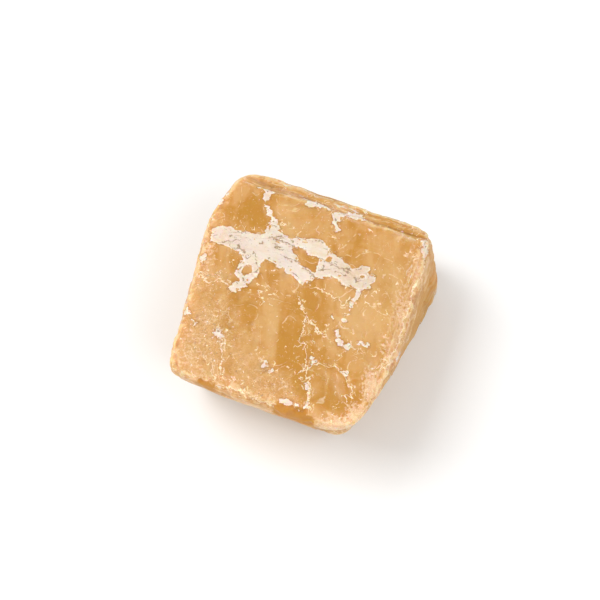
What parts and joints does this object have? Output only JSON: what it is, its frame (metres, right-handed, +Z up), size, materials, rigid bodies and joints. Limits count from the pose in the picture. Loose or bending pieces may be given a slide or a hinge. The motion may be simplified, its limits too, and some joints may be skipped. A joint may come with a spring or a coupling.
{
  "type": "raw calcite stone",
  "caption": "Leaning block of cloudy honey calcite with worn, rounded edges and stepped sides. It lies loose on its flat base.",
  "frame": {"origin": "middle of the block's bounding box, on the level that its base lies on", "axes": "+Z up, away from the base; -Y towards the side from which the picture looks down; +X to that view's right"},
  "size_m": [0.044, 0.048, 0.022],
  "materials": {
    "calcite": "waxy and cloudy, with glossy cleavage patches"
  },
  "bodies": {
    "root": {"calcite_block": "calcite"}
  },
  "joints": []
}
